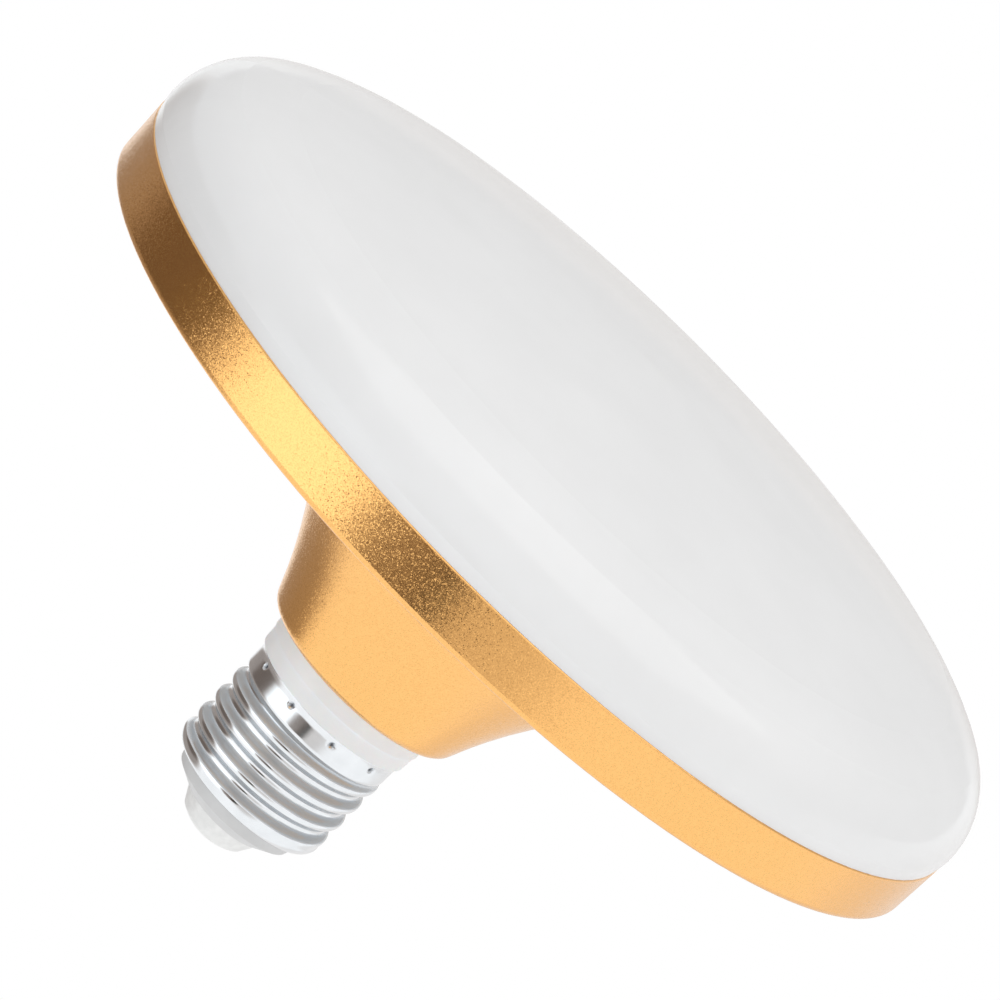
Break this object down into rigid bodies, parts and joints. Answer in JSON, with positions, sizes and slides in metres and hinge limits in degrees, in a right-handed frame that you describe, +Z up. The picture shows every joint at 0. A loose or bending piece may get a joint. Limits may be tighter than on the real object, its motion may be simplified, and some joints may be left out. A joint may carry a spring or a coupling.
{
  "type": "disc led bulb",
  "caption": "Wide disc-shaped LED bulb: a shallow opal cover under a gold metal dish that sweeps up to a neck, a white collar and an E27 screw cap.",
  "frame": {"origin": "crown of the opal cover, the lowest point, on the lamp's axis", "axes": "+Z up the lamp's axis towards the screw cap, as it hangs in a ceiling lampholder; +X and +Y are across the disc, and the driver board lies in the XZ plane"},
  "size_m": [0.1528, 0.1528, 0.0949],
  "materials": {
    "opal_cover": "smooth opal, half matt",
    "gold_lacquer": "satin gold lacquer with a fine metallic grain",
    "white_moulding": "satin",
    "nickel_plate": "bright nickel plate",
    "grey_moulding": "matt",
    "contact_metal": "satin",
    "board_white": "white solder mask",
    "led_phosphor": "yellow phosphor",
    "zinc_plate": "bright zinc plate",
    "circuit_board": "bare laminate",
    "ferrite": "matt",
    "copper_winding": "enamelled wire",
    "can_sleeve": "shrink sleeve",
    "film_case": "moulded",
    "resistor_body": "lacquered",
    "chip_black": "moulded",
    "brown_insulation": "matt",
    "blue_insulation": "matt",
    "red_insulation": "matt",
    "black_insulation": "matt",
    "connector_white": "satin"
  },
  "bodies": {
    "root": {"diffuser_cover": "opal_cover", "housing": "gold_lacquer", "base_adapter": "white_moulding", "screw_shell": "nickel_plate", "cap_insulator": "grey_moulding", "centre_contact": "contact_metal", "led_board": "board_white", "led_chips": "led_phosphor", "board_screws": "zinc_plate", "adapter_screws": "zinc_plate", "driver_board": "circuit_board", "inductor_core": "ferrite", "inductor_winding": "copper_winding", "input_capacitor": "can_sleeve", "output_capacitor": "can_sleeve", "film_capacitor": "film_case", "fuse_resistor": "resistor_body", "bridge_rectifier": "chip_black", "driver_chip": "chip_black", "output_diode": "chip_black", "chip_resistors": "chip_black", "live_wire": "brown_insulation", "neutral_wire": "blue_insulation", "positive_wire": "red_insulation", "negative_wire": "black_insulation", "wire_connector": "connector_white"}
  },
  "joints": []
}
